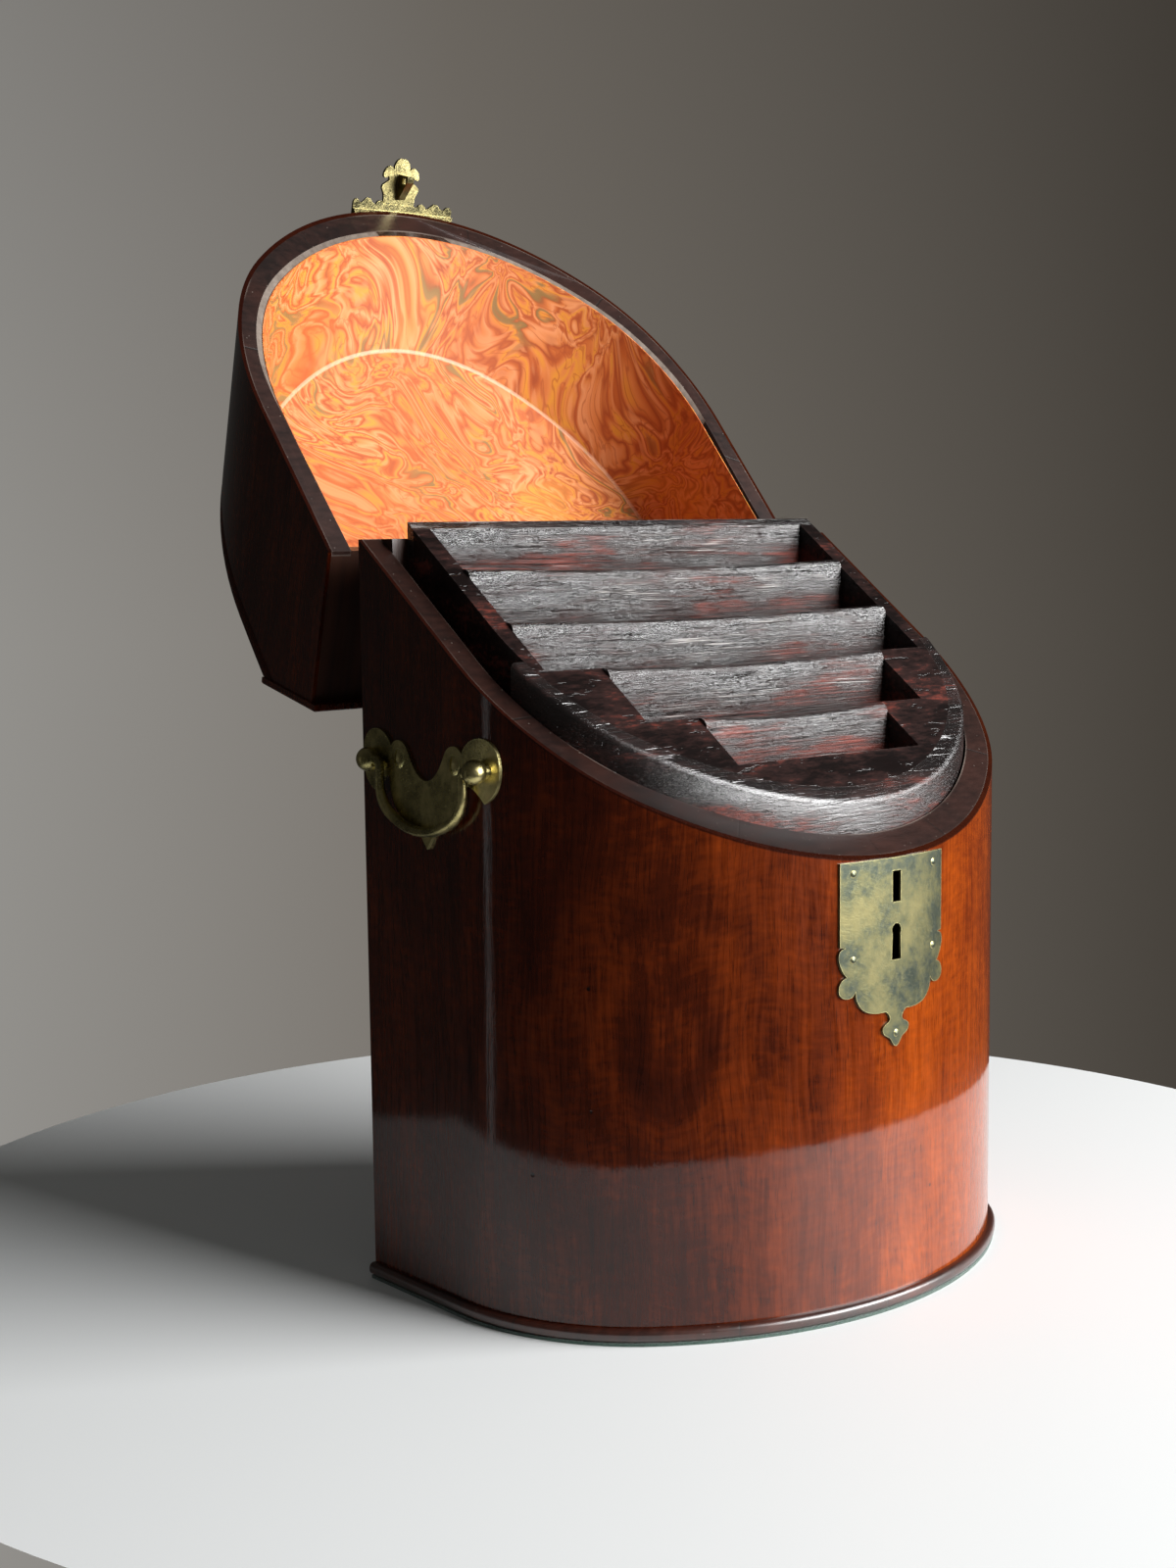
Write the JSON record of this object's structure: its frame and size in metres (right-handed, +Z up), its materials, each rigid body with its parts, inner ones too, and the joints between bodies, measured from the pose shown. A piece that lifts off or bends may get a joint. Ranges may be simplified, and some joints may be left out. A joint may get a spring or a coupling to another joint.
{
  "type": "knife box",
  "caption": "Bow-fronted mahogany knife box with a hinged lid thrown back, a stepped letter rack inside, brass lock plate, hasp and side handles.",
  "frame": {"origin": "centre of the case's plan on the underside of the baize, which is the flat face that it rests on", "axes": "+X to the right seen from the front, +Y to the back where the lid is hinged, +Z up"},
  "size_m": [0.2668, 0.3172, 0.4564],
  "materials": {
    "figured_veneer": "french-polished figured mahogany veneer, deep red-brown and glossy",
    "rim_banding": "rubbed dark mahogany banding on the meeting edges",
    "carcass_wood": "plain dark mahogany, waxed",
    "rack_wood": "dark stained rough-grained wood with a worn silvery sheen",
    "green_baize": "dark green baize",
    "marbled_paper": "marbled paper in orange, yellow and pink with green veins, matt",
    "pale_brass": "pale yellow brass, scratched, with grey-green patches",
    "old_brass": "darkened olive brass with rubbed bright edges",
    "lock_iron": "dull dark iron"
  },
  "bodies": {
    "case": {"baize_pad": "green_baize", "base_moulding": "figured_veneer", "bottom_board": "carcass_wood", "case_wall": "carcass_wood", "case_veneer": "figured_veneer", "case_rim_banding": "rim_banding", "case_back_board": "carcass_wood", "rack_floor": "rack_wood", "rack_back": "rack_wood", "rack_side_left": "rack_wood", "rack_side_right": "rack_wood", "packing_left": "rack_wood", "packing_right": "rack_wood", "corner_block_rear_left": "rack_wood", "corner_block_rear_right": "rack_wood", "corner_block_front_left": "rack_wood", "corner_block_front_right": "rack_wood", "front_block": "rack_wood", "front_wall": "rack_wood", "divider_1": "rack_wood", "divider_2": "rack_wood", "divider_3": "rack_wood", "divider_4": "rack_wood", "lock_plate": "pale_brass", "lock_plate_nails": "pale_brass", "lock_case": "lock_iron", "lock_spring": "lock_iron", "handle_plate_left": "old_brass", "handle_plate_right": "old_brass", "handle_posts_left": "old_brass", "handle_posts_right": "old_brass", "handle_screws_left": "old_brass", "handle_screws_right": "old_brass", "case_hinge_leaves": "old_brass", "case_hinge_screws": "old_brass", "hinge_pins": "old_brass"},
    "lid": {"lid_wall": "carcass_wood", "lid_veneer": "figured_veneer", "lid_rim_banding": "rim_banding", "lid_back_board": "carcass_wood", "lid_slope_panel": "figured_veneer", "lid_top_board": "figured_veneer", "lid_lining": "marbled_paper", "lid_hinge_leaves": "old_brass", "lid_hinge_screws": "old_brass", "hasp_plate": "pale_brass", "hasp_plate_nails": "pale_brass", "hasp_pin": "pale_brass"},
    "hasp_leaf": {"hasp": "pale_brass"},
    "bolt": {"lock_bolt": "lock_iron"},
    "bail_left_body": {"bail_left": "old_brass"},
    "bail_right_body": {"bail_right": "old_brass"}
  },
  "joints": [
    {"name": "lid_hinge", "type": "hinge", "parent": "case", "child": "lid", "pos_m": [0, 0.08825, 0.2827], "axis": [1, 0, 0], "range_deg": [0, 166]},
    {"name": "hasp_swing", "type": "hinge", "parent": "lid", "child": "hasp_leaf", "pos_m": [0, 0.22794, 0.42513], "axis": [-1, 0, 0], "range_deg": [0, 110]},
    {"name": "bolt_slide", "type": "slide", "parent": "case", "child": "bolt", "axis": [1, 0, 0], "range_m": [0, 0.0055]},
    {"name": "bail_left_swing", "type": "hinge", "parent": "case", "child": "bail_left_body", "pos_m": [-0.1288, 0.03655, 0.2041], "axis": [0, 1, 0], "range_deg": [0, 100]},
    {"name": "bail_right_swing", "type": "hinge", "parent": "case", "child": "bail_right_body", "pos_m": [0.1288, 0.03655, 0.2041], "axis": [0, -1, 0], "range_deg": [0, 100]}
  ]
}
